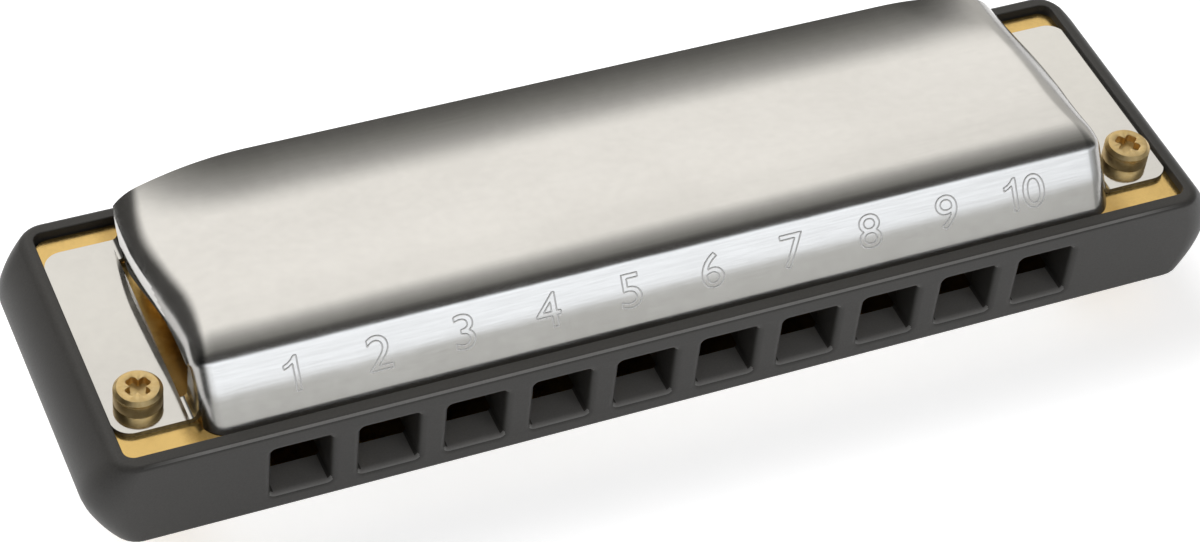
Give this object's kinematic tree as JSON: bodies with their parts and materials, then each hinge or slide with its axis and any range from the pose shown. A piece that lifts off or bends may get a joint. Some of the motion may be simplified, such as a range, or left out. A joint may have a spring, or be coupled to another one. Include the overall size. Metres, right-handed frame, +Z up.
{
  "type": "diatonic harmonica",
  "caption": "Mouth organ with a moulded comb, brass reed plates and riveted reeds between two pressed steel covers held by end screws.",
  "frame": {"origin": "centre of the footprint, on the surface that the lower cover rests on", "axes": "+X along the length from hole one to hole ten, +Y from the mouthpiece to the rear, +Z up, through the blow reeds' cover"},
  "size_m": [0.1026, 0.0284, 0.0194],
  "materials": {
    "comb": "matt, dark grey",
    "cover": "satin",
    "brass": "milled",
    "screw": "polished"
  },
  "bodies": {
    "instrument": {"comb": "comb", "blow_reed_plate": "brass", "draw_reed_plate": "brass", "blow_reed_pads": "brass", "draw_reed_pads": "brass", "blow_reed_rivets": "brass", "draw_reed_rivets": "brass", "blow_plate_screws": "screw", "draw_plate_screws": "screw", "cover_screws": "screw", "cover_nuts": "screw", "upper_cover": "cover", "lower_cover": "cover"},
    "blow_reed_1_tongue": {"blow_reed_1": "brass"},
    "blow_reed_2_tongue": {"blow_reed_2": "brass"},
    "blow_reed_3_tongue": {"blow_reed_3": "brass"},
    "blow_reed_4_tongue": {"blow_reed_4": "brass"},
    "blow_reed_5_tongue": {"blow_reed_5": "brass"},
    "blow_reed_6_tongue": {"blow_reed_6": "brass"},
    "blow_reed_7_tongue": {"blow_reed_7": "brass"},
    "blow_reed_8_tongue": {"blow_reed_8": "brass"},
    "blow_reed_9_tongue": {"blow_reed_9": "brass"},
    "blow_reed_10_tongue": {"blow_reed_10": "brass"},
    "draw_reed_1_tongue": {"draw_reed_1": "brass"},
    "draw_reed_2_tongue": {"draw_reed_2": "brass"},
    "draw_reed_3_tongue": {"draw_reed_3": "brass"},
    "draw_reed_4_tongue": {"draw_reed_4": "brass"},
    "draw_reed_5_tongue": {"draw_reed_5": "brass"},
    "draw_reed_6_tongue": {"draw_reed_6": "brass"},
    "draw_reed_7_tongue": {"draw_reed_7": "brass"},
    "draw_reed_8_tongue": {"draw_reed_8": "brass"},
    "draw_reed_9_tongue": {"draw_reed_9": "brass"},
    "draw_reed_10_tongue": {"draw_reed_10": "brass"}
  },
  "joints": [
    {"name": "blow_reed_1_bend", "type": "hinge", "parent": "instrument", "child": "blow_reed_1_tongue", "pos_m": [-0.03375, -0.00754, 0.0125], "axis": [1, 0, 0], "range_deg": [-3, 3], "stiffness_Nm_per_rad": 0.015},
    {"name": "blow_reed_2_bend", "type": "hinge", "parent": "instrument", "child": "blow_reed_2_tongue", "pos_m": [-0.02625, -0.00754, 0.0125], "axis": [1, 0, 0], "range_deg": [-3, 3], "stiffness_Nm_per_rad": 0.0165},
    {"name": "blow_reed_3_bend", "type": "hinge", "parent": "instrument", "child": "blow_reed_3_tongue", "pos_m": [-0.01875, -0.00754, 0.0125], "axis": [1, 0, 0], "range_deg": [-3, 3], "stiffness_Nm_per_rad": 0.018},
    {"name": "blow_reed_4_bend", "type": "hinge", "parent": "instrument", "child": "blow_reed_4_tongue", "pos_m": [-0.01125, -0.00754, 0.0125], "axis": [1, 0, 0], "range_deg": [-3, 3], "stiffness_Nm_per_rad": 0.0195},
    {"name": "blow_reed_5_bend", "type": "hinge", "parent": "instrument", "child": "blow_reed_5_tongue", "pos_m": [-0.00375, -0.00754, 0.0125], "axis": [1, 0, 0], "range_deg": [-3, 3], "stiffness_Nm_per_rad": 0.021},
    {"name": "blow_reed_6_bend", "type": "hinge", "parent": "instrument", "child": "blow_reed_6_tongue", "pos_m": [0.00375, -0.00754, 0.0125], "axis": [1, 0, 0], "range_deg": [-3, 3], "stiffness_Nm_per_rad": 0.0225},
    {"name": "blow_reed_7_bend", "type": "hinge", "parent": "instrument", "child": "blow_reed_7_tongue", "pos_m": [0.01125, -0.00754, 0.0125], "axis": [1, 0, 0], "range_deg": [-3, 3], "stiffness_Nm_per_rad": 0.024},
    {"name": "blow_reed_8_bend", "type": "hinge", "parent": "instrument", "child": "blow_reed_8_tongue", "pos_m": [0.01875, -0.00754, 0.0125], "axis": [1, 0, 0], "range_deg": [-3, 3], "stiffness_Nm_per_rad": 0.0255},
    {"name": "blow_reed_9_bend", "type": "hinge", "parent": "instrument", "child": "blow_reed_9_tongue", "pos_m": [0.02625, -0.00754, 0.0125], "axis": [1, 0, 0], "range_deg": [-3, 3], "stiffness_Nm_per_rad": 0.027},
    {"name": "blow_reed_10_bend", "type": "hinge", "parent": "instrument", "child": "blow_reed_10_tongue", "pos_m": [0.03375, -0.00754, 0.0125], "axis": [1, 0, 0], "range_deg": [-3, 3], "stiffness_Nm_per_rad": 0.0285},
    {"name": "draw_reed_1_bend", "type": "hinge", "parent": "instrument", "child": "draw_reed_1_tongue", "pos_m": [-0.03375, 0.00825, 0.006], "axis": [1, 0, 0], "range_deg": [-3, 3], "stiffness_Nm_per_rad": 0.015},
    {"name": "draw_reed_2_bend", "type": "hinge", "parent": "instrument", "child": "draw_reed_2_tongue", "pos_m": [-0.02625, 0.00763, 0.006], "axis": [1, 0, 0], "range_deg": [-3, 3], "stiffness_Nm_per_rad": 0.0165},
    {"name": "draw_reed_3_bend", "type": "hinge", "parent": "instrument", "child": "draw_reed_3_tongue", "pos_m": [-0.01875, 0.00701, 0.006], "axis": [1, 0, 0], "range_deg": [-3, 3], "stiffness_Nm_per_rad": 0.018},
    {"name": "draw_reed_4_bend", "type": "hinge", "parent": "instrument", "child": "draw_reed_4_tongue", "pos_m": [-0.01125, 0.00639, 0.006], "axis": [1, 0, 0], "range_deg": [-3, 3], "stiffness_Nm_per_rad": 0.0195},
    {"name": "draw_reed_5_bend", "type": "hinge", "parent": "instrument", "child": "draw_reed_5_tongue", "pos_m": [-0.00375, 0.00577, 0.006], "axis": [1, 0, 0], "range_deg": [-3, 3], "stiffness_Nm_per_rad": 0.021},
    {"name": "draw_reed_6_bend", "type": "hinge", "parent": "instrument", "child": "draw_reed_6_tongue", "pos_m": [0.00375, 0.00515, 0.006], "axis": [1, 0, 0], "range_deg": [-3, 3], "stiffness_Nm_per_rad": 0.0225},
    {"name": "draw_reed_7_bend", "type": "hinge", "parent": "instrument", "child": "draw_reed_7_tongue", "pos_m": [0.01125, 0.00453, 0.006], "axis": [1, 0, 0], "range_deg": [-3, 3], "stiffness_Nm_per_rad": 0.024},
    {"name": "draw_reed_8_bend", "type": "hinge", "parent": "instrument", "child": "draw_reed_8_tongue", "pos_m": [0.01875, 0.00392, 0.006], "axis": [1, 0, 0], "range_deg": [-3, 3], "stiffness_Nm_per_rad": 0.0255},
    {"name": "draw_reed_9_bend", "type": "hinge", "parent": "instrument", "child": "draw_reed_9_tongue", "pos_m": [0.02625, 0.0033, 0.006], "axis": [1, 0, 0], "range_deg": [-3, 3], "stiffness_Nm_per_rad": 0.027},
    {"name": "draw_reed_10_bend", "type": "hinge", "parent": "instrument", "child": "draw_reed_10_tongue", "pos_m": [0.03375, 0.00268, 0.006], "axis": [1, 0, 0], "range_deg": [-3, 3], "stiffness_Nm_per_rad": 0.0285}
  ]
}
